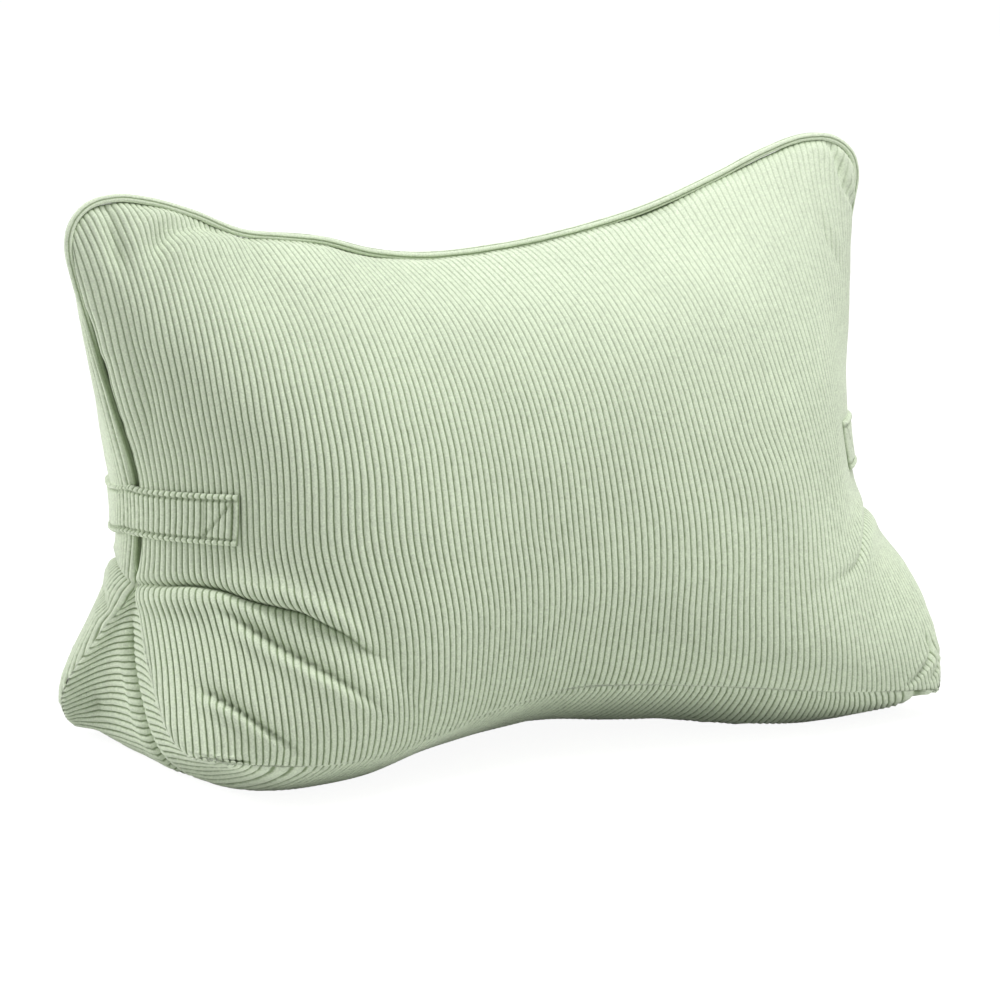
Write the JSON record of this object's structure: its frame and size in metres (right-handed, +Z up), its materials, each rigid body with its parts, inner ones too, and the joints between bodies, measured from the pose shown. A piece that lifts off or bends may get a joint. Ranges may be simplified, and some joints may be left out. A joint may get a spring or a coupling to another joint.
{
  "type": "back cushion",
  "caption": "Self-standing wedge back cushion in ribbed cord cloth, with a wide foot, a piped seam over the top and sides, and a carrying strap at each side.",
  "frame": {"origin": "on the floor, under the middle of the whole cushion", "axes": "+Z up, +X to the right of someone who faces the front, +Y towards the back; the front faces -Y"},
  "size_m": [0.61, 0.3414, 0.3921],
  "materials": {
    "cord_cloth": "matte",
    "piping_cloth": "matte",
    "strap_cloth": "matte"
  },
  "bodies": {
    "root": {"cushion_body": "cord_cloth", "piping": "piping_cloth", "handle_left": "strap_cloth", "handle_right": "strap_cloth"}
  },
  "joints": []
}
